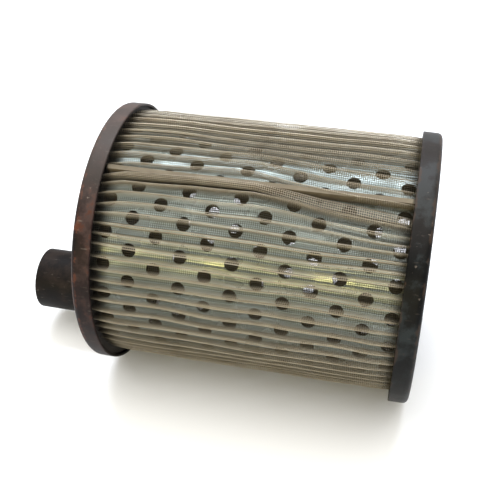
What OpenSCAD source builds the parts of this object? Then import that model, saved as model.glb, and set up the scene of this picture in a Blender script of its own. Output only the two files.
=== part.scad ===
// Pleated wire-mesh fuel filter element with an off-centre outlet spigot.
// It lies on its side: +X runs along the cylinder from the outlet end to the
// closed end, +Z is up, and the origin is on the surface it lies on, under the
// middle of its length. All sizes are in millimetres.

/* [Overall] */
// Outer diameter of the pressed end caps
cap_d = 86; // [60:1:130]
// Length from the outer face of one cap to the outer face of the other
body_l = 102; // [70:1:180]

/* [End caps] */
// Thickness of the cap sheet
cap_t = 0.9; // [0.6:0.1:1.6]
// Height of the skirt, measured from the outer face
skirt_h = 6; // [4:0.2:12]
// Outside corner radius between face and skirt
corner_r = 1.8; // [1.2:0.1:3]
// Diameter of the pressed dish in the closed cap
dish_d = 50; // [24:1:80]
// Depth of the dish
dish_depth = 1.6; // [0.6:0.1:3]

/* [Outlet spigot] */
// Outer diameter of the outlet tube
spigot_d = 21.3; // [14:0.1:26]
// Wall of the outlet tube
spigot_t = 1.6; // [1:0.1:2.5]
// How far the tube stands out of the cap
spigot_l = 30.6; // [12:0.2:60]
// Size of the brazed fillet round the foot of the tube
braze_w = 1.4; // [0.6:0.1:3]
// How much the radius of the tube's foot is turned down
foot_step = 0.3; // [0.2:0.05:0.8]

/* [Core] */
// Thickness of the perforated core sheet
core_t = 0.7; // [0.5:0.1:1.2]
// Diameter of each hole in the core
hole_d = 4.3; // [3:0.1:5]
// Distance along the core between one ring of holes and the next
ring_pitch = 7.8; // [6.5:0.1:12]
// Number of holes round each ring
ring_holes = 24; // [16:2:30]
// Angle of one hole of the middle ring from the top towards the front
hole_at = 12; // [0:0.5:20]

/* [Mesh] */
// Number of pleats round the element
pleats = 70; // [50:1:90]
// Radial depth of a pleat
pleat_depth = 3.7; // [2.5:0.1:4.5]
// Thickness of the woven cloth, two wires deep
cloth_t = 0.34; // [0.25:0.01:0.5]
// Gap between the crests and the inside of the cap skirt
crest_gap = 0.9; // [0.4:0.1:2]
// Angle of the seam pleat from the top of the element towards the front
seam_at = 29; // [0:1:359]

/* [Clearances] */
// Between the core and the cloth and clip that lie round it
core_gap = 0.1; // [0.05:0.05:0.5]
// Between the outlet tube and the inside of the core
spigot_gap = 0.3; // [0.1:0.1:3]
// Between each end of the cloth and the cap behind it
cloth_end_gap = 0.6; // [0.2:0.1:1.5]
// Between the top of the resin and the lip of the skirt
potting_gap = 1.2; // [0.5:0.1:2.5]
// Between the seam clip and the cloth round it
clip_gap = 0.25; // [0.1:0.05:0.5]
// Width of the slit where the core's outer edge ends
slit_w = 0.5; // [0.3:0.1:1]

/* [Hidden] */
cap_r = cap_d / 2;
skirt_in_r = cap_r - cap_t;
closed_face_x = (body_l + spigot_l) / 2;
outlet_face_x = closed_face_x - body_l;
spigot_r = spigot_d / 2;
foot_r = spigot_r - foot_step;
dish_r = dish_d / 2;

crest_r = skirt_in_r - crest_gap;
root_r = crest_r - pleat_depth;
core_r = root_r - cloth_t / 2 - core_gap;
core_l = body_l - 2 * cap_t;
rings = floor((core_l - 2 * skirt_h - hole_d) / ring_pitch / 2) * 2 + 2;
hole_step = 360 / ring_holes;
// The lap seam of the core takes the place of one row of holes, low at the back,
// and reaches half-way to the staggered rows beside it.
core_seam_at = hole_at + 13 * hole_step;
lap_angle = hole_step / 2;
spigot_off = core_r - core_t - spigot_r - spigot_gap;

cloth_l = core_l - 2 * cloth_end_gap;
pleat_step = 360 / pleats;
// One pleat of the cloth's centre line: [share of the step, share of the depth].
// A wide root lies on the core and a narrow fold stands out from it.
plain_pleat = [[0.04, 0], [0.58, 0], [0.71, 0.9], [0.76, 1], [0.86, 1], [0.91, 0.9]];
seam_pleat = [[0.04, 0], [0.18, 0], [0.21, 0.9], [0.26, 1], [0.94, 1], [0.99, 0.9]];
seam_mid = (seam_pleat[2][0] + seam_pleat[5][0]) / 2;
// The seam clip fills the wide pleat from flank to flank and from core to crest.
fold_w = (seam_pleat[4][0] - seam_pleat[3][0]) * pleat_step * PI / 180 * root_r;
clip_t = fold_w - cloth_t - 2 * clip_gap;
clip_foot = core_r + core_gap;
clip_h = crest_r - cloth_t / 2 - clip_gap - clip_foot;

eps = 0.01;
$fn = 96;

steel = [0.29, 0.21, 0.19];
black = [0.17, 0.17, 0.17];
zinc = [0.58, 0.61, 0.58];
wire = [0.62, 0.58, 0.50];
resin = [0.16, 0.14, 0.12];

// Children drawn along +Z from the given X position on the cylinder's axis.
// Angle 0 about that axis points straight down, and +X of the drawing with it.
module along_axis(x) {
    translate([x, 0, cap_r]) rotate([0, 90, 0]) children();
}

// The angle about the drawing's axis of a place `a` degrees from the top
// towards the front.
function turn(a) = 180 + a;

// Outline of a cup's space: radius, depth and corner radius, from the axis out.
module cup_outline(r, h, corner) {
    difference() {
        square([r, h]);
        translate([r - corner, 0]) square([corner + eps, corner]);
    }
    intersection() {
        translate([r - corner, 0]) square([corner, corner]);
        translate([r - corner, corner]) circle(r = corner);
    }
}

// Space inside a cap, down to the given distance from its outer face.
module cap_space(h) {
    translate([0, 0, cap_t])
        rotate_extrude() cup_outline(skirt_in_r, h - cap_t, corner_r - cap_t);
}

// Plain pressed cup, with its outer face at z = 0 and its skirt towards +Z.
module pressed_cup() {
    difference() {
        rotate_extrude() cup_outline(cap_r, skirt_h, corner_r);
        cap_space(skirt_h + 1);
    }
}

// Cloth's centre line: the points of every pleat, the first one at the seam.
function pleat_points() = [
    for (k = [0:pleats - 1], p = k == 0 ? seam_pleat : plain_pleat)
        let (a = (k + p[0] - seam_mid) * pleat_step, r = root_r + p[1] * pleat_depth)
            [r * cos(a), r * sin(a)]
];

function unit(v) = v / norm(v);

// The closed line moved sideways by d at every corner.
function shifted(pts, d) = let (n = len(pts)) [
    for (i = [0:n - 1])
        let (e1 = unit(pts[i] - pts[(i + n - 1) % n]),
             e2 = unit(pts[(i + 1) % n] - pts[i]),
             n1 = [e1[1], -e1[0]],
             n2 = [e2[1], -e2[0]])
            pts[i] + d * (n1 + n2) / (1 + n1 * n2)
];

module cloth_solid() {
    outer = shifted(pleat_points(), cloth_t / 2);
    inner = shifted(pleat_points(), -cloth_t / 2);
    along_axis(outlet_face_x + cap_t + cloth_end_gap)
        rotate([0, 0, turn(seam_at)])
            linear_extrude(height = cloth_l)
                difference() {
                    polygon(outer);
                    polygon(inner);
                }
}

module outlet_end_cap() {
    color(steel) difference() {
        along_axis(outlet_face_x) pressed_cup();
        along_axis(outlet_face_x - 1)
            translate([spigot_off, 0, 0]) cylinder(h = cap_t + 2, r = foot_r);
    }
}

// The dish is pressed inwards, with a wall that slopes at 45 degrees.
module closed_end_cap() {
    slope_t = cap_t * sqrt(2);
    color(black) along_axis(closed_face_x) mirror([0, 0, 1]) difference() {
        union() {
            pressed_cup();
            cylinder(h = dish_depth + cap_t, r1 = dish_r + slope_t,
                     r2 = dish_r + slope_t - dish_depth - cap_t);
        }
        translate([0, 0, -eps])
            cylinder(h = dish_depth + eps, r1 = dish_r + eps, r2 = dish_r - dish_depth);
    }
}

// Plain tube. Its foot is turned down to take the brazing metal and goes through
// the cap, and its free end is rounded off.
module outlet_spigot() {
    round_r = 0.6;
    tube_h = cap_t + spigot_l;
    foot_h = cap_t + braze_w;
    color(steel) along_axis(outlet_face_x + cap_t)
        translate([spigot_off, 0, 0]) mirror([0, 0, 1]) difference() {
            union() {
                cylinder(h = foot_h, r = foot_r);
                translate([0, 0, foot_h])
                    cylinder(h = tube_h - round_r - foot_h, r = spigot_r);
                translate([0, 0, tube_h - round_r])
                    cylinder(h = round_r, r1 = spigot_r, r2 = spigot_r - round_r);
            }
            translate([0, 0, -1])
                cylinder(h = tube_h + 2, r = spigot_r - spigot_t);
        }
}

// Brazing metal that fills the tube's turned foot and spreads on to the cap.
module spigot_braze() {
    color(steel) along_axis(outlet_face_x)
        translate([spigot_off, 0, 0]) mirror([0, 0, 1])
            rotate_extrude() difference() {
                translate([foot_r, 0]) square([foot_step + braze_w, braze_w]);
                translate([spigot_r + braze_w, braze_w]) circle(r = braze_w);
            }
}

// Rolled sheet with staggered round holes and a lap seam along the back.
module perforated_core() {
    color(zinc) along_axis(outlet_face_x + cap_t) rotate([0, 0, turn(core_seam_at)])
        difference() {
            union() {
                rolled_sheet();
                rotate([0, 0, -lap_angle / 2]) core_lap();
            }
            for (i = [0:rings - 1], k = [(i + 1) % 2:ring_holes - 1])
                translate([0, 0, core_l / 2 + (i - (rings - 1) / 2) * ring_pitch])
                    rotate([0, 0, (k + i % 2 / 2) * hole_step]) core_hole();
        }
}

// The core's tube with its slit, where the sheet's outer edge ends.
module rolled_sheet() {
    difference() {
        cylinder(h = core_l, r = core_r);
        translate([0, 0, -1]) cylinder(h = core_l + 2, r = core_r - core_t);
        translate([core_r - core_t - 1, -slit_w / 2, -1])
            cube([core_t + 2, slit_w, core_l + 2]);
    }
}

// The sheet's inner edge, stepped in under its outer edge and cut back at its ends.
// It is welded to the sheet above, so it reaches a little way into it.
module core_lap() {
    cut_back = 0.4;
    weld = 0.14;
    rotate_extrude(angle = lap_angle) translate([core_r - 2 * core_t, cut_back])
        square([core_t + weld, core_l - 2 * cut_back]);
}

// One punched hole's cutter, through one wall of the core.
module core_hole() {
    translate([core_r - 3 * core_t, 0, 0])
        rotate([0, 90, 0]) cylinder(h = 4 * core_t, r = hole_d / 2);
}

module filter_mesh() {
    color(wire) cloth_solid();
}

// Folded strip that grips the two ends of the cloth inside the wide pleat.
module seam_clip() {
    color(zinc) along_axis(outlet_face_x + skirt_h)
        rotate([0, 0, turn(seam_at)])
            translate([clip_foot, -clip_t / 2, 0])
                cube([clip_h, clip_t, body_l - 2 * skirt_h]);
}

// Ring of cast resin between core and skirt: the cloth's ends are bedded in it.
module potting(x, flip) {
    along_axis(x) mirror([0, 0, flip]) difference() {
        cap_space(skirt_h - potting_gap);
        cylinder(h = skirt_h, r = core_r);
    }
}

module potting_outlet() {
    color(resin) potting(outlet_face_x, 0);
}

module potting_closed() {
    color(resin) potting(closed_face_x, 1);
}

outlet_end_cap();
closed_end_cap();
outlet_spigot();
spigot_braze();
perforated_core();
filter_mesh();
seam_clip();
potting_outlet();
potting_closed();
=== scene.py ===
import math

import bpy
import numpy as np
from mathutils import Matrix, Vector


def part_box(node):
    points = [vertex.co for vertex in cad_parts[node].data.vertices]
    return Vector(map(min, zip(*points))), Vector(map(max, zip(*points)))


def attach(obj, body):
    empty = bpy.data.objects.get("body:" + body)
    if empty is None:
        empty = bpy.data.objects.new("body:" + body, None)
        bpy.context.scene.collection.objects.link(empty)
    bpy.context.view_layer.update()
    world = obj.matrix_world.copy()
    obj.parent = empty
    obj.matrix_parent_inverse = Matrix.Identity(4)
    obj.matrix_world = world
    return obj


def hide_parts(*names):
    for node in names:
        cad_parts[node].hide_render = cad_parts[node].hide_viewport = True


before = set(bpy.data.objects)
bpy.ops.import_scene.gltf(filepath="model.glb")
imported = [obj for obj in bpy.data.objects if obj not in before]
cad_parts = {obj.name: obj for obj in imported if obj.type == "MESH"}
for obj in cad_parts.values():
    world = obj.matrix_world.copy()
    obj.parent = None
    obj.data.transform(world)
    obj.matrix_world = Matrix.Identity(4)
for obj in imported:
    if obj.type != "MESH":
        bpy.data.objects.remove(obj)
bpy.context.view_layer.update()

# ---------------------------------------------------------------- sizes, in metres
MM = 0.001
outlet_lo, outlet_hi = (np.array(p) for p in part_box("outlet_end_cap"))
closed_lo, closed_hi = (np.array(p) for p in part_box("closed_end_cap"))
tube_lo, tube_hi = (np.array(p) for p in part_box("outlet_spigot"))
core_lo, core_hi = (np.array(p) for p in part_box("perforated_core"))

CAP_R = float(closed_hi[2] - closed_lo[2]) / 2
CAP_T = 0.9 * MM
CORNER_R = 1.8 * MM
SKIRT_H = float(outlet_hi[0] - outlet_lo[0])
DISH_R = 25.0 * MM
DISH_DEPTH = 1.6 * MM
AXIS_Z = float(closed_hi[2] + closed_lo[2]) / 2
# Dust and a painted highlight lie on the caps and tube above this height, and painted shade below
# it.
LIGHT_SHADE_Z = AXIS_Z + 0.6 * CAP_R
# Painted shade darkens the cloth and core below this height.
LOW_SHADE_Z = AXIS_Z + 0.5 * CAP_R
OUTLET_X = float(outlet_lo[0])
CLOSED_X = float(closed_hi[0])
MID_X = (OUTLET_X + CLOSED_X) / 2

TUBE_R = float(tube_hi[2] - tube_lo[2]) / 2
TUBE_T = 1.6 * MM
FOOT_STEP = 0.3 * MM
BRAZE_W = 1.4 * MM
TUBE_Z = float(tube_lo[2] + tube_hi[2]) / 2
TUBE_X = float(tube_lo[0])

CORE_R = float(core_hi[2] - core_lo[2]) / 2

PLEATS = 70
CREST_R = 41.2 * MM
ROOT_R = 37.5 * MM
# Half the width of a pleat at its foot, at its fold, and at the wider folds low down.
FOOT_HALF = 0.75 * MM
FOLD_HALF = 0.28 * MM
LOW_FOLD_HALF = 0.44 * MM
# The seam pleat's place, as an angle from the top towards the front.
SEAM_AT = math.radians(29.0)
# The shown cloth ends this far inside the caps' outer faces, under their lips.
CLOTH_IN = 4.3 * MM
CLOTH_X0 = OUTLET_X + CLOTH_IN
CLOTH_X1 = CLOSED_X - CLOTH_IN

# The cloth has about 60 wires to the inch, drawn coarser here, at 41 to the inch.
WIRE_PITCH = 0.62 * MM
WIRE_R = 0.064 * MM
# A wire is three-sided, with its corners at these angles round it.
WIRE_CORNERS = np.radians([75, 195, 315])[:, None]

rng = np.random.default_rng(11)


def around(angle, radius, x):
    """Point on a circle about the cylinder's axis; angle from the top towards the front."""
    a = np.asarray(angle)
    places = np.broadcast_arrays(x, -radius * np.sin(a), AXIS_Z + radius * np.cos(a))
    return np.stack(places, -1)


def eased(value, start, end):
    """0 before start, 1 after end, and a smooth step between them."""
    t = np.clip((value - start) / (end - start), 0, 1)
    return t * t * (3 - 2 * t)


def seam_skew(along):
    """How far the seam pleat has moved round, at places from -1 at the outlet to 1."""
    return np.radians(np.interp(along, [-1, -0.85, -0.4, 0, 0.43, 1],
                                [3.0, 1.0, -0.5, -1.0, 3.0, 6.0]))


def dirt(places):
    """How much dirt fattens the wires: low at the back, along the top and under the seam."""
    spoke = (places - [0, 0, AXIS_Z]) / ROOT_R
    low_back = eased(spoke @ [0, 0.87, -0.5], 0.3, 0.8)
    high = eased(spoke @ [0, 0.1, 1.0], 0.93, 1.05)
    along = (places[..., 0] - MID_X) / (MID_X - OUTLET_X)
    # The corner under the seam pleat is 1 to 3 degrees below the pleat's middle.
    corner = SEAM_AT + seam_skew(along) + np.radians(np.interp(along, [-1, 0, 1], [1, 2, 3]))
    away = np.degrees(np.arctan2(-spoke[..., 1], spoke[..., 2]) - corner)
    deep = eased(np.linalg.norm(spoke[..., 1:], axis=-1), CREST_R / ROOT_R, 1.0)
    under = deep * np.exp(-(away / 2.2) ** 2)
    return 1 + 1.2 * low_back + 0.6 * high + 1.1 * under


# ---------------------------------------------------------------- mesh helpers
def add_piece(name, verts, faces, material, chart=None):
    """New smooth mesh from vertices and faces; chart has a place on the bake map per vertex."""
    mesh = bpy.data.meshes.new(name)
    faces = np.asarray(faces, np.int32)
    mesh.vertices.add(len(verts))
    mesh.vertices.foreach_set("co", np.asarray(verts, np.float32).ravel())
    mesh.loops.add(faces.size)
    mesh.loops.foreach_set("vertex_index", faces.ravel())
    mesh.polygons.add(len(faces))
    starts = np.arange(len(faces), dtype=np.int32) * faces.shape[1]
    mesh.polygons.foreach_set("loop_start", starts)
    mesh.polygons.foreach_set("use_smooth", np.full(len(faces), True))
    if chart is not None:
        layer = mesh.uv_layers.new(name="OFBake")
        layer.uv.foreach_set("vector", chart[faces.ravel()].astype(np.float32).ravel())
    mesh.update(calc_edges=True)
    mesh.validate()
    mesh.materials.append(material)
    piece = bpy.data.objects.new(name, mesh)
    bpy.context.scene.collection.objects.link(piece)
    return piece


def stand_in(piece, node):
    """The piece is shown in place of the CAD node."""
    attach(piece, "root")
    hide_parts(node)


def held(loops):
    """The closed row of rings, with two more rings in each wide band to keep its edges crisp."""
    gap = 0.15 * MM
    rows = []
    for near, far in zip(loops, loops[1:] + loops[:1]):
        rows.append(near)
        width = np.linalg.norm(far - near, axis=1, keepdims=True)
        if width.min() > 4 * gap:
            rows.append(near + (far - near) * gap / width)
            rows.append(far - (far - near) * gap / width)
    return rows


def skin(name, loops, material):
    """Closed skin over rings of points, each ring joined to the next and the last to the first."""
    loops = np.asarray(held(loops))
    count, n = loops.shape[:2]
    index = np.arange(count * n).reshape(count, n)
    after = np.roll(index, -1, axis=0)
    faces = np.stack([index, np.roll(index, -1, axis=1), np.roll(after, -1, axis=1), after], -1)
    return add_piece(name, loops.reshape(-1, 3), faces.reshape(-1, 4), material)


def wires(paths, up, chart, chart_side, chart_lift):
    """Three-sided wires with closed ends along paths, an array of wires by points.

    up is a vector at each point, chart its place on the bake map, and chart_side
    and chart_lift the way to the wire's sides on that map.
    """
    tangent = np.gradient(paths, axis=1)
    side = np.cross(tangent, up)
    side /= np.linalg.norm(side, axis=-1, keepdims=True)
    lift = np.cross(side, tangent)
    lift /= np.linalg.norm(lift, axis=-1, keepdims=True)
    across, upwards = np.cos(WIRE_CORNERS), np.sin(WIRE_CORNERS)
    ring = across * side[..., None, :] + upwards * lift[..., None, :]
    thick = WIRE_R * dirt(paths)[..., None, None]
    verts = paths[..., None, :] + thick * ring
    spots = across * np.array(chart_side) + upwards * np.array(chart_lift)
    spots = chart[..., None, :] + WIRE_R * spots
    count, points = paths.shape[:2]
    index = np.arange(count * points * 3).reshape(count, points, 3)
    near, far = index[:, :-1], index[:, 1:]
    near_next, far_next = np.roll(near, -1, 2), np.roll(far, -1, 2)
    faces = [np.stack([near, near_next, far_next], -1).reshape(-1, 3),
             np.stack([near, far_next, far], -1).reshape(-1, 3),
             index[:, 0, ::-1],
             index[:, -1]]
    return verts.reshape(-1, 3), np.concatenate(faces), spots.reshape(-1, 2)


# ---------------------------------------------------------------- materials
# Noise scales are per metre, so a scale of 85 gives stains about 12 mm across.
def linear(code):
    """Linear colour of an sRGB hex code."""
    parts = [int(code[i:i + 2], 16) / 255 for i in (1, 3, 5)]
    return [c / 12.92 if c <= 0.04045 else ((c + 0.055) / 1.055) ** 2.4 for c in parts] + [1.0]


def add(tree, kind, settings=None, stops=(), **inputs):
    """New node with its settings and inputs.

    An input is a value, a node or a socket, given by its name or as _6 by its
    number. stops are a colour ramp's positions and hex codes.
    """
    node = tree.nodes.new(kind)
    for key, value in (settings or {}).items():
        setattr(node, key, value)
    for position, code in stops[1:-1]:
        node.color_ramp.elements.new(position)
    for place, (position, code) in enumerate(stops):
        node.color_ramp.elements[place].position = position
        node.color_ramp.elements[place].color = linear(code)
    for key, value in inputs.items():
        socket = node.inputs[int(key[1:]) if key[0] == "_" else key.replace("_", " ")]
        if isinstance(value, bpy.types.Node):
            value = next(out for out in value.outputs if out.enabled)
        if isinstance(value, bpy.types.NodeSocket):
            tree.links.new(value, socket)
        else:
            socket.default_value = value
    return node


def new_material(name):
    """Material, its node tree, its shader, and the place on the object in metres."""
    material = bpy.data.materials.new(name)
    material.use_nodes = True
    tree = material.node_tree
    place = add(tree, "ShaderNodeTexCoord").outputs["Object"]
    return material, tree, tree.nodes["Principled BSDF"], place


def old_steel(name, skin_stops, wear_and_shade, wear_and_shade_x, rust, rust_from, scuffed, top_dusting_and_highlight, rough):
    """Old steel: a stained skin with pits, and layers of wear, rust, scuffs, dusting, a painted
    highlight on top and painted shade below.

    The colour wear_and_shade lies near each x in wear_and_shade_x: rubbed-off skin on the caps
    and tube, painted shade under the lips on the strip. The higher rust_from is, the less rust
    there is. scuffed and top_dusting_and_highlight are how strongly the scuffs and the top's
    dusting with its painted highlight show, and rough is the lowest and highest roughness.
    """
    material, tree, shader, place = new_material(name)
    noise = "ShaderNodeTexNoise"
    remap = "ShaderNodeMapRange"
    maths = "ShaderNodeMath"
    layers = []
    # Stains are about 12 mm across, blooms 6 mm, specks 1.4 mm and pits 0.5 mm.
    stain = add(tree, noise, Vector=place, Scale=85.0, Detail=7.0, Roughness=0.65)
    bloom = add(tree, noise, Vector=place, Scale=170.0, Detail=8.0, Roughness=0.7)
    speck = add(tree, noise, Vector=place, Scale=700.0, Detail=4.0, Roughness=0.5)
    pit = add(tree, noise, Vector=place, Scale=2000.0, Detail=4.0, Roughness=0.6)
    # Scuffs are about 0.5 mm wide and 2 mm long, along the element. The rotation comes
    # after the stretch, so it only picks another pattern.
    stretched = add(tree, "ShaderNodeMapping", Vector=place, Rotation=(0.9, 0.5, 0.4),
                    Scale=(0.25, 1.0, 1.0))
    scuff = add(tree, noise, Vector=stretched, Scale=900.0, Detail=5.0, Roughness=0.6)

    # Where the skin has rubbed off on the caps and tube, and where painted shade darkens the strip
    # under the caps' lips: close to the edges, with a ragged border.
    split = add(tree, "ShaderNodeSeparateXYZ", Vector=place)
    border = add(tree, remap, Value=bloom, From_Min=0.35, From_Max=0.65,
                 To_Min=-0.7 * MM, To_Max=1.2 * MM)
    for edge_x in wear_and_shade_x:
        away = add(tree, maths, {"operation": "SUBTRACT"}, _0=split.outputs["X"], _1=edge_x)
        away = add(tree, maths, {"operation": "ABSOLUTE"}, _0=away)
        rubbed_and_shaded = add(tree, maths, {"operation": "SUBTRACT"}, _0=border, _1=away)
        mask = add(tree, remap, Value=rubbed_and_shaded, From_Min=0.0, From_Max=0.5 * MM, To_Max=0.7)
        layers.append((mask, wear_and_shade))

    rusted = add(tree, remap, Value=bloom, From_Min=rust_from, From_Max=rust_from + 0.1,
                 To_Max=0.85)
    # Scuffs and specks are bright.
    speckled = add(tree, remap, Value=speck, From_Min=0.69, From_Max=0.76, To_Max=0.5)
    rubbed = add(tree, remap, Value=scuff, From_Min=0.62, From_Max=0.78, To_Max=scuffed)
    marked = add(tree, maths, {"operation": "MAXIMUM"}, _0=speckled, _1=rubbed)
    # Dust and a painted highlight lighten the top, and painted shade darkens the sides and below.
    height = split.outputs["Z"]
    dusting_and_highlight = add(tree, remap, Value=height, From_Min=LIGHT_SHADE_Z, From_Max=AXIS_Z + CAP_R, To_Max=top_dusting_and_highlight)
    shade_below = add(tree, remap, Value=height, From_Min=LIGHT_SHADE_Z, From_Max=0.0, To_Max=0.9)
    layers += [(rusted, rust), (marked, "#857a71"), (dusting_and_highlight, "#7a706a"), (shade_below, "#020202")]

    colour = add(tree, "ShaderNodeValToRGB", stops=skin_stops, Fac=stain).outputs[0]
    for mask, tint in layers:
        colour = add(tree, "ShaderNodeMix", {"data_type": "RGBA"}, _0=mask, _6=colour,
                     _7=linear(tint)).outputs[2]
    tree.links.new(colour, shader.inputs["Base Color"])

    roughness = add(tree, remap, Value=stain, From_Min=0.3, From_Max=0.7,
                    To_Min=rough[0], To_Max=rough[1])
    tree.links.new(roughness.outputs[0], shader.inputs["Roughness"])
    shader.inputs["Specular IOR Level"].default_value = 0.1
    relief = add(tree, "ShaderNodeBump", Height=pit, Strength=0.2, Distance=0.15 * MM)
    tree.links.new(relief.outputs[0], shader.inputs["Normal"])
    return material


def from_axis(tree, place):
    """Distance from the cylinder's axis."""
    centre = add(tree, "ShaderNodeVectorMath", {"operation": "SUBTRACT"}, _0=place,
                 _1=(0.0, 0.0, AXIS_Z))
    spoke = add(tree, "ShaderNodeVectorMath", {"operation": "MULTIPLY"}, _0=centre, _1=(0, 1, 1))
    return add(tree, "ShaderNodeVectorMath", {"operation": "LENGTH"}, _0=spoke).outputs["Value"]


def shade_under_lips(tree, place, share):
    """Mask of painted shade in the corner under each cap's lip."""
    x = add(tree, "ShaderNodeSeparateXYZ", Vector=place).outputs["X"]
    away = add(tree, "ShaderNodeMath", {"operation": "SUBTRACT"}, _0=x, _1=MID_X)
    away = add(tree, "ShaderNodeMath", {"operation": "ABSOLUTE"}, _0=away)
    lip = (CLOSED_X - OUTLET_X) / 2 - SKIRT_H
    return add(tree, "ShaderNodeMapRange", Value=away, From_Min=lip - 4 * MM, From_Max=lip,
               To_Max=share)


def seam_overhang_shade(tree, place, share):
    """Mask of painted shade under the overhanging seam pleat, which runs lower towards the closed
    end.
    """
    centre = add(tree, "ShaderNodeVectorMath", {"operation": "SUBTRACT"}, _0=place,
                 _1=(0.0, 0.0, AXIS_Z))
    split = add(tree, "ShaderNodeSeparateXYZ", Vector=centre)
    front = add(tree, "ShaderNodeMath", {"operation": "MULTIPLY"}, _0=split.outputs["Y"], _1=-1.0)
    angle = add(tree, "ShaderNodeMath", {"operation": "ARCTAN2"}, _0=front, _1=split.outputs["Z"])
    seam = add(tree, "ShaderNodeMapRange", Value=split.outputs["X"], From_Min=MID_X,
               From_Max=CLOSED_X, To_Min=SEAM_AT + math.radians(1),
               To_Max=SEAM_AT + math.radians(10))
    away = add(tree, "ShaderNodeMath", {"operation": "SUBTRACT"}, _0=angle, _1=seam)
    away = add(tree, "ShaderNodeMath", {"operation": "ABSOLUTE"}, _0=away)
    return add(tree, "ShaderNodeMapRange", Value=away, From_Min=math.radians(2),
               From_Max=math.radians(5), To_Min=share, To_Max=0.0)


def stained_wire():
    """Fine steel wire, browned by old fuel, with painted shade darker at the roots than on the
    crests.
    """
    material, tree, shader, place = new_material("stained_steel_wire")
    crest = add(tree, "ShaderNodeMapRange", Value=from_axis(tree, place),
                From_Min=ROOT_R, From_Max=CREST_R)
    # Stains are about 9 mm across.
    stain = add(tree, "ShaderNodeTexNoise", Vector=place, Scale=110.0, Detail=5.0, Roughness=0.6)
    crest_tone = add(tree, "ShaderNodeValToRGB", Fac=stain,
                stops=[(0.3, "#a09380"), (0.5, "#bcb29f"), (0.7, "#aa9c88")])
    root_shade = add(tree, "ShaderNodeValToRGB", Fac=stain, stops=[(0.3, "#565144"), (0.7, "#6f6b5c")])
    # Painted shade darkens the low side.
    height = add(tree, "ShaderNodeSeparateXYZ", Vector=place).outputs["Z"]
    low = add(tree, "ShaderNodeMapRange", Value=height, From_Min=LOW_SHADE_Z, From_Max=0.0,
              To_Max=0.35)
    # Painted shade under the overhanging seam pleat, fading out towards the crests.
    under = seam_overhang_shade(tree, place, 0.95)
    deep = add(tree, "ShaderNodeMath", {"operation": "SUBTRACT"}, _0=1.0, _1=crest)
    under = add(tree, "ShaderNodeMath", {"operation": "MULTIPLY"}, _0=under, _1=deep)
    # Painted shade darkens the cloth in the corner under each cap's lip.
    corner = shade_under_lips(tree, place, 0.35)

    # Painted shade darkens the wire from the crests down to the roots.
    colour = add(tree, "ShaderNodeMix", {"data_type": "RGBA"}, _0=crest, _6=root_shade,
                 _7=crest_tone).outputs[2]
    for mask, tint in ((low, "#544b3b"), (under, "#2e261b"), (corner, "#3a3328")):
        colour = add(tree, "ShaderNodeMix", {"data_type": "RGBA"}, _0=mask, _6=colour,
                     _7=linear(tint)).outputs[2]
    tree.links.new(colour, shader.inputs["Base Color"])
    # Dirt between the wires keeps them from shining like bare steel.
    shader.inputs["Metallic"].default_value = 0.55
    shader.inputs["Roughness"].default_value = 0.36
    return material


def galvanised_sheet():
    """Zinc plated sheet, gone dull grey-green, with rolling marks along the element."""
    material, tree, shader, place = new_material("galvanised_sheet")
    height = add(tree, "ShaderNodeSeparateXYZ", Vector=place).outputs["Z"]
    # Painted shade darkens the low side.
    low = add(tree, "ShaderNodeMapRange", Value=height, From_Min=LOW_SHADE_Z, From_Max=0.0,
              To_Max=0.85)
    # Painted shade under the overhanging seam pleat.
    under = seam_overhang_shade(tree, place, 0.8)
    # Painted shade darkens the core in the corner under each cap's lip.
    corner = shade_under_lips(tree, place, 0.9)
    # Its inside is dull and darker.
    inside = add(tree, "ShaderNodeMapRange", Value=from_axis(tree, place),
                 From_Min=CORE_R - 0.1 * MM, From_Max=CORE_R - 0.5 * MM)

    # Clouds in the zinc are about 17 mm across.
    cloud = add(tree, "ShaderNodeTexNoise", Vector=place, Scale=60.0, Detail=5.0)
    colour = add(tree, "ShaderNodeValToRGB", Fac=cloud,
                 stops=[(0.3, "#929b93"), (0.5, "#a3aca5"), (0.7, "#b1bab4")]).outputs[0]
    for mask, tint in ((low, "#5c6058"), (under, "#453f33"), (corner, "#2a2620"),
                       (inside, "#5e5747")):
        colour = add(tree, "ShaderNodeMix", {"data_type": "RGBA"}, _0=mask, _6=colour,
                     _7=linear(tint)).outputs[2]
    tree.links.new(colour, shader.inputs["Base Color"])
    # The zinc's dull film hides about half of its metal shine.
    shader.inputs["Metallic"].default_value = 0.55
    # Rolling marks are about 25 mm long and 1 mm wide.
    long_way = add(tree, "ShaderNodeVectorMath", {"operation": "MULTIPLY"}, _0=place,
                   _1=(0.04, 1.0, 1.0))
    marks = add(tree, "ShaderNodeTexNoise", Vector=long_way, Scale=1000.0, Detail=4.0)
    # Bright and dull patches are about 10 mm across.
    patch = add(tree, "ShaderNodeTexNoise", Vector=place, Scale=100.0, Detail=3.0)
    rough = add(tree, "ShaderNodeMapRange", Value=patch, From_Min=0.4, From_Max=0.6,
                To_Min=0.22, To_Max=0.5)
    rough = add(tree, "ShaderNodeMix", _0=inside, _2=rough, _3=0.65)
    tree.links.new(rough.outputs[0], shader.inputs["Roughness"])
    relief = add(tree, "ShaderNodeBump", Height=marks, Strength=0.6, Distance=0.1 * MM)
    tree.links.new(relief.outputs[0], shader.inputs["Normal"])
    return material


def cast_resin():
    """Dark cast resin with a dull skin."""
    material, tree, shader, place = new_material("cast_resin")
    # Clouds in the resin are about 3 mm across.
    cloud = add(tree, "ShaderNodeTexNoise", Vector=place, Scale=300.0, Detail=4.0)
    colour = add(tree, "ShaderNodeValToRGB", Fac=cloud, stops=[(0.3, "#16130f"), (0.7, "#2a251f")])
    tree.links.new(colour.outputs[0], shader.inputs["Base Color"])
    shader.inputs["Roughness"].default_value = 0.7
    return material


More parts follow.
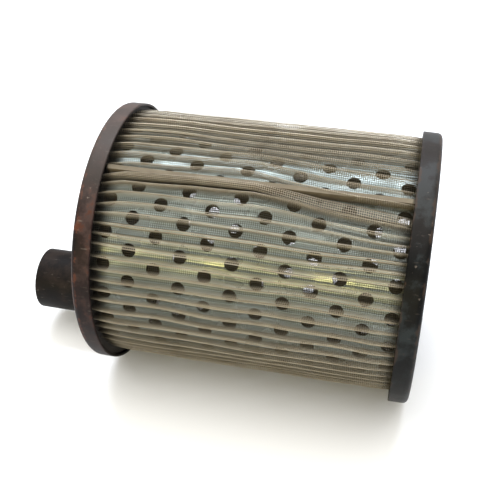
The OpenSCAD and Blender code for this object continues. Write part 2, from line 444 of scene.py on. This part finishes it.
# The outlet cap's dark coating is worn and browned by rust.
rusty_cap = old_steel("rust_browned_steel",
                      skin_stops=[(0.38, "#140e0d"), (0.5, "#241816"), (0.6, "#3d2f2c")],
                      wear_and_shade="#5a3322", wear_and_shade_x=(OUTLET_X + 0.4 * MM, OUTLET_X + 1.4 * MM),
                      rust="#48281b", rust_from=0.56, scuffed=0.45, top_dusting_and_highlight=0.32, rough=(0.4, 0.6))
# The closed cap keeps its dull black paint, worn at the corner and the lip.
black_cap = old_steel("worn_black_paint",
                      skin_stops=[(0.38, "#040404"), (0.5, "#0c0d0d"), (0.6, "#262b2d")],
                      wear_and_shade="#3a2c22", wear_and_shade_x=(CLOSED_X - 0.6 * MM, CLOSED_X - SKIRT_H),
                      rust="#3e2a1e", rust_from=0.66, scuffed=0.15, top_dusting_and_highlight=0.12,
                      rough=(0.36, 0.55))
# The tube has a dull dark brown oxide skin, and the braze at its foot is stained like it.
tube_steel = old_steel("oxide_brown_steel",
                       skin_stops=[(0.36, "#100c0a"), (0.5, "#1c1512"), (0.62, "#382d27")],
                       wear_and_shade="#4a3222", wear_and_shade_x=(TUBE_X, OUTLET_X), rust="#38221a",
                       rust_from=0.6, scuffed=0.6, top_dusting_and_highlight=0.0, rough=(0.45, 0.6))
# The strip that grips the cloth is stained tan by fuel, and painted dark as shade where it runs
# under the caps' lips.
tan_steel = old_steel("stained_steel_strip",
                      skin_stops=[(0.3, "#5d5546"), (0.5, "#6f6656"), (0.7, "#7d7464")],
                      wear_and_shade="#1e1a15", wear_and_shade_x=(OUTLET_X + SKIRT_H, CLOSED_X - SKIRT_H),
                      rust="#5a4634", rust_from=0.62, scuffed=0.3, top_dusting_and_highlight=0.1, rough=(0.5, 0.7))
wire = stained_wire()
zinc = galvanised_sheet()
resin = cast_resin()

# ---------------------------------------------------------------- pleated cloth
STATIONS = 25
station_x = np.linspace(CLOTH_X0, CLOTH_X1, STATIONS)
along = np.linspace(-1, 1, STATIONS)


def wander(amplitude):
    """Slow random change along each pleat, half of it shared with its neighbours."""
    waves = (0.5, 1.0, 2.0, 3.5)
    t = np.linspace(0, 1, STATIONS)
    total = np.zeros((PLEATS, STATIONS))
    for wave in waves:
        phase = rng.uniform(0, 2 * np.pi, (PLEATS, 1))
        size = rng.normal(0, 1, (PLEATS, 1)) / np.sqrt(wave)
        total += size * np.sin(2 * np.pi * wave * t + phase)
    beside = (np.roll(total, 1, 0) + np.roll(total, -1, 0)) / 2
    return amplitude * (total + beside) / 2 / np.sqrt(len(waves))


# Half of a pleat from root to crest: share of its width at the foot or the fold,
# rise from root to crest, and how far it has gone from the foot's width to the fold's.
HALF_PLEAT = [(1.0, 0.0, 0.0), (1.0, 0.1, 0.3), (1.0, 0.45, 0.75), (1.0, 0.82, 1.0),
              (0.78, 0.95, 1.0), (0.4, 0.995, 1.0)]
POINTS = 2 * len(HALF_PLEAT)


def pleat_lines():
    """Angle and radius of every fold point: arrays of pleats by fold points by stations."""
    step = 2 * np.pi / PLEATS
    number = np.arange(PLEATS)[:, None]
    from_seam = (number + PLEATS // 2) % PLEATS - PLEATS // 2
    nominal = SEAM_AT + from_seam * step
    facing = np.degrees(nominal)
    from_top = np.abs(facing)

    # The seam pleat runs askew and takes its neighbours with it.
    skew = seam_skew(along) * np.exp(-(from_seam / 4) ** 2)
    # All of them crowd together at three places round the element.
    drift = 0.35 * step * np.sin(3 * (nominal - np.radians(100)))
    mid = nominal + drift + skew + wander(0.15 * step)

    # Pleats above the seam are pressed down, away from the outlet end.
    crushed = np.exp(-((from_seam + 4.3) / 2.0) ** 2) * eased(along, -0.7, 0.0)
    lean = wander(0.17 * step) - 0.3 * step * crushed
    # Those low on the front lean upwards.
    lean -= 0.4 * step * eased(facing, 65, 100) * eased(facing, 150, 125)
    top = CREST_R - np.abs(wander(0.35 * MM)) - 1.5 * MM * crushed
    # The underside is worn flatter, where the element has lain.
    top -= 1.3 * MM * eased(from_top, 95, 130)

    fold = FOLD_HALF + (LOW_FOLD_HALF - FOLD_HALF) * eased(from_top, 45, 75)
    fold = fold * (1 + wander(0.25)) + 0.3 * MM * crushed
    foot = FOOT_HALF * (1 + wander(0.2))
    # The seam pleat is wide, and widens and leans over towards the closed end.
    fold[0] = np.interp(along, [-1, 0, 1], [0.9, 1.4, 1.8]) * MM
    foot[0] = 1.0 * MM
    lean[0] = np.interp(along, [-1, 0, 1], [0.1, 0.3, 0.6]) * step
    # All are pinched where they go under the lips.
    fold *= np.interp(np.abs(along), [0.8, 1], [1, 0.4])
    top -= 0.5 * MM * eased(np.abs(along), 0.85, 1)

    angles, radii = [], []
    for side in (-1, 1):
        for share, rise, folded in HALF_PLEAT[::-side]:
            radius = ROOT_R + rise * (top - ROOT_R)
            half = share * (foot * (1 - folded) + fold * folded)
            angles.append(mid + rise * lean + side * half / radius)
            radii.append(radius)
    return np.stack(angles, 1), np.stack(radii, 1)


def between(rows, low, part):
    """Mix of each row numbered in low with the next one, part of the way to it."""
    part = part[:, None, None]
    return rows[low] * (1 - part) + rows[low + 1] * part


def cloth_sector(name, angle, radius):
    """One stretch of cloth as crossed wires. angle and radius: fold points by stations."""
    fold_points = around(angle, radius, station_x)
    length = CLOTH_X1 - CLOTH_X0
    middle = fold_points[:, STATIONS // 2]
    run = np.concatenate([[0], np.cumsum(np.linalg.norm(np.diff(middle, axis=0), axis=1))])
    v = (station_x - CLOTH_X0) / length
    chart = np.stack(np.broadcast_arrays(run[:, None] / run[-1], v), -1)

    # Wires round the element, one at each pitch along it.
    hoops = int(length / WIRE_PITCH)
    at = np.linspace(0, STATIONS - 1, hoops)
    low = np.minimum(at.astype(int), STATIONS - 2)
    paths = between(fold_points.transpose(1, 0, 2), low, at - low)
    charts = between(chart.transpose(1, 0, 2), low, at - low)
    up = np.broadcast_to([1.0, 0.0, 0.0], paths.shape)
    round_wires = wires(paths, up, charts, (0, 0), (0, 1 / length))

    # Wires along the element, spaced by the length of the folded line.
    count = int(run[-1] / WIRE_PITCH)
    spots = (np.arange(count) + 0.5) * run[-1] / count
    low = np.searchsorted(run, spots) - 1
    part = (spots - run[low]) / (run[low + 1] - run[low])
    paths = between(fold_points, low, part)
    charts = between(chart, low, part)
    spoke = (paths - [0, 0, AXIS_Z]) * [0, 1, 1]
    long_wires = wires(paths, spoke, charts, (1 / run[-1], 0), (0, 0))

    verts = np.concatenate([round_wires[0], long_wires[0]])
    faces = np.concatenate([round_wires[1], long_wires[1] + len(round_wires[0])])
    charts = np.concatenate([round_wires[2], long_wires[2]])
    # The chart keeps a margin of 0.02 round the bake map's edge.
    return add_piece(name, verts, faces, wire, 0.02 + 0.96 * charts)


# The cloth is made in stretches of ten pleats, so that no mesh is too heavy.
SECTORS = 7
angles, radii = pleat_lines()
for s in range(SECTORS):
    rows = np.arange(s * PLEATS // SECTORS, (s + 1) * PLEATS // SECTORS + 1)
    angle = angles[rows % PLEATS].copy()
    # Keep the angles rising where the numbers go past the half-way pleat or start again.
    angle += 2 * np.pi * (rows > PLEATS // 2 - 1)[:, None, None] * (angle < 0)
    angle += 2 * np.pi * (rows == PLEATS)[:, None, None]
    # Each stretch ends on the first fold point of the next one.
    angle = angle.reshape(-1, STATIONS)[:1 - POINTS]
    radius = radii[rows % PLEATS].reshape(-1, STATIONS)[:1 - POINTS]
    stand_in(cloth_sector(f"cloth_{s + 1}", angle, radius), "filter_mesh")

# ---------------------------------------------------------------- end caps and tube
RING = 192
ring_angles = np.linspace(0, 2 * np.pi, RING, endpoint=False)
# Long and short dents all round the skirts, up to 0.2 mm deep together.
DENT = 0.05 * MM
dents = DENT * (1 + np.sin(11 * ring_angles))
for waves in (3, 5):
    dents += DENT / 2 * (1 + np.sin(waves * ring_angles + 2.1 * waves))
# Radius of the tiny ring at the middle of a closed face.
CENTRE_R = 0.02 * MM


def arc(centre, radius, start, end, count=7):
    """Points (radius from the axis, depth) on a rounded corner."""
    turns = np.radians(np.linspace(start, end, count))
    return [(centre[0] + radius * math.cos(t), centre[1] + radius * math.sin(t)) for t in turns]


def cap_profile():
    """Skirt and corner of a cap: (radius, depth from the outer face), outer side first."""
    corner = (CAP_R - CORNER_R, CORNER_R)
    edge = CAP_T / 3
    outer = arc(corner, CORNER_R, -90, 0)
    lip = arc((CAP_R - edge, SKIRT_H - edge), edge, 0, 90, 4)
    inner_lip = arc((CAP_R - CAP_T + edge, SKIRT_H - edge), edge, 90, 180, 4)
    inner = arc(corner, CORNER_R - CAP_T, 0, -90)
    return outer + lip + inner_lip + inner


def ring_at(radius, x):
    """Ring of points about the cylinder's axis."""
    return around(ring_angles, radius, x)


def dented(radius, depth):
    """Radius of a cap's ring, dented between its corner and its lip."""
    return radius - dents * eased(depth, 0, CORNER_R) * (1 - 0.6 * eased(depth, 4 * MM, SKIRT_H))


def closed_cap():
    """Cap without a hole, with a round dish pressed into its face."""
    # The dish's side slopes at 45 degrees, so the wall is wider across it.
    slope = CAP_T * math.sqrt(2)
    face = [(CENTRE_R, DISH_DEPTH), (DISH_R - DISH_DEPTH, DISH_DEPTH), (DISH_R, 0.0)]
    back_r = DISH_R + slope - CAP_T
    back = [(back_r, CAP_T), (back_r - DISH_DEPTH, CAP_T + DISH_DEPTH),
            (CENTRE_R, CAP_T + DISH_DEPTH)]
    skirt = [ring_at(dented(r, d), CLOSED_X - d) for r, d in cap_profile()]
    flat = [[ring_at(r, CLOSED_X - d) for r, d in part] for part in (face, back)]
    return skin("closed_cap", flat[0] + skirt + flat[1], black_cap)


def outlet_cap():
    """Cap with a hole for the tube.

    The rings run round the hole near it and round the cap further out.
    """
    offset = TUBE_Z - AXIS_Z
    ray_y, ray_z = -np.sin(ring_angles), np.cos(ring_angles)

    def outwards(radius, depth):
        """Ring of the cap, each point straight out from the hole's middle."""
        reach = -ray_z * offset + np.sqrt(radius ** 2 - (ray_y * offset) ** 2)
        x = np.full(RING, OUTLET_X + depth)
        return np.stack([x, ray_y * reach, ray_z * reach + TUBE_Z], -1)

    hole = ring_at(TUBE_R - FOOT_STEP, OUTLET_X) + [0, 0, offset]
    skirt = [outwards(dented(r, d), d) for r, d in cap_profile()]
    return skin("outlet_cap", [hole] + skirt + [hole + [CAP_T, 0, 0]], rusty_cap)


def tube():
    """Outlet tube with a rounded mouth and a foot turned down to fit the cap's hole."""
    edge = 0.6 * MM
    bore_r = TUBE_R - TUBE_T
    foot_r = TUBE_R - FOOT_STEP
    end_x = OUTLET_X + CAP_T
    foot_x = OUTLET_X - BRAZE_W
    profile = arc((bore_r + edge, edge), edge, 180, 270, 5)
    profile += arc((TUBE_R - edge, edge), edge, 270, 360, 5)
    profile = [(r, TUBE_X + depth) for r, depth in profile]
    profile += [(TUBE_R, foot_x), (foot_r, foot_x), (foot_r, end_x), (bore_r, end_x)]
    shift = [0, 0, TUBE_Z - AXIS_Z]
    return skin("outlet_tube", [ring_at(r, x) + shift for r, x in profile], tube_steel)


def braze():
    """Uneven bead of brazing metal round the tube's foot, no bigger than the CAD fillet."""
    # It is up to 40% narrower than the fillet.
    ragged = 1 - 0.12 * (1 + np.sin(7 * ring_angles)) - 0.08 * (1 + np.sin(17 * ring_angles + 1))
    turns = np.radians(np.linspace(0, 90, 5))
    width = BRAZE_W * ragged
    foot_r = TUBE_R - FOOT_STEP
    loops = [ring_at(foot_r, OUTLET_X), ring_at(foot_r, OUTLET_X - width)]
    for t in turns:
        loops.append(ring_at(TUBE_R + width * (1 - np.cos(t)), OUTLET_X - width * (1 - np.sin(t))))
    shift = [0, 0, TUBE_Z - AXIS_Z]
    return skin("braze_bead", [loop + shift for loop in loops], tube_steel)


stand_in(closed_cap(), "closed_end_cap")
stand_in(outlet_cap(), "outlet_end_cap")
stand_in(tube(), "outlet_spigot")
stand_in(braze(), "spigot_braze")

for node, material in (("perforated_core", zinc), ("seam_clip", tan_steel),
                       ("potting_outlet", resin), ("potting_closed", resin)):
    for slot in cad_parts[node].material_slots:
        slot.material = material

# ---------------------------------------------------------------- floor, light, camera
floor_mat, _, shader, _ = new_material("pale_floor")
shader.inputs["Base Color"].default_value = linear("#f9f9f9")
shader.inputs["Roughness"].default_value = 0.9
FLOOR_HALF = 3.0
corners = FLOOR_HALF * np.array([(-1, -1, 0), (1, -1, 0), (1, 1, 0), (-1, 1, 0)])
add_piece("floor", corners, [(0, 1, 2, 3)], floor_mat)

world = bpy.data.worlds.new("studio")
bpy.context.scene.world = world
world.use_nodes = True
background = world.node_tree.nodes["Background"]
background.inputs["Color"].default_value = linear("#ffffff")
background.inputs["Strength"].default_value = 0.84


def lamp(name, place, size, power, colour):
    """Soft lamp aimed at the middle of the element; size is its width and height."""
    data = bpy.data.lights.new(name, "AREA")
    data.shape = "RECTANGLE"
    data.size, data.size_y = size
    data.energy = power
    data.color = linear(colour)[:3]
    light = bpy.data.objects.new(name, data)
    light.location = place
    aim = Vector((MID_X, 0, AXIS_Z)) - light.location
    light.rotation_euler = aim.to_track_quat("-Z", "Y").to_euler()
    bpy.context.scene.collection.objects.link(light)


# A broad lamp above, a cool strip behind that glints on the core's upper side, and a
# warm strip low in front that glints on its lower side.
lamp("key", (-0.1, -0.26, 1.0), (1.1, 1.1), 8.3, "#fffefa")
lamp("back_strip", (-0.1, 0.35, 0.9), (0.8, 0.1), 7.4, "#e4eeff")
lamp("front_strip", (-0.2, -1.0, 0.25), (0.6, 0.14), 3.4, "#ffea96")

AZIMUTH, ELEVATION = math.radians(13.16), math.radians(34.52)
DISTANCE = 6.309 * CAP_R
AIM_LEFT, AIM_DOWN = 0.206 * CAP_R, 0.0155 * CAP_R
level = math.cos(ELEVATION)
back = np.array([math.sin(AZIMUTH) * level, -math.cos(AZIMUTH) * level, math.sin(ELEVATION)])
right = np.array([math.cos(AZIMUTH), math.sin(AZIMUTH), 0.0])
above = np.cross(back, right)
aim = np.array([MID_X, 0, AXIS_Z]) - AIM_LEFT * right - AIM_DOWN * above
camera_data = bpy.data.cameras.new("camera")
camera_data.lens = 59.2
camera_data.sensor_width = 36.0
camera_data.clip_start = 0.01
camera = bpy.data.objects.new("camera", camera_data)
bpy.context.scene.collection.objects.link(camera)
camera.location = aim + DISTANCE * back
camera.rotation_euler = (math.pi / 2 - ELEVATION, 0, AZIMUTH)
bpy.context.scene.camera = camera
bpy.context.scene.view_settings.view_transform = "Standard"
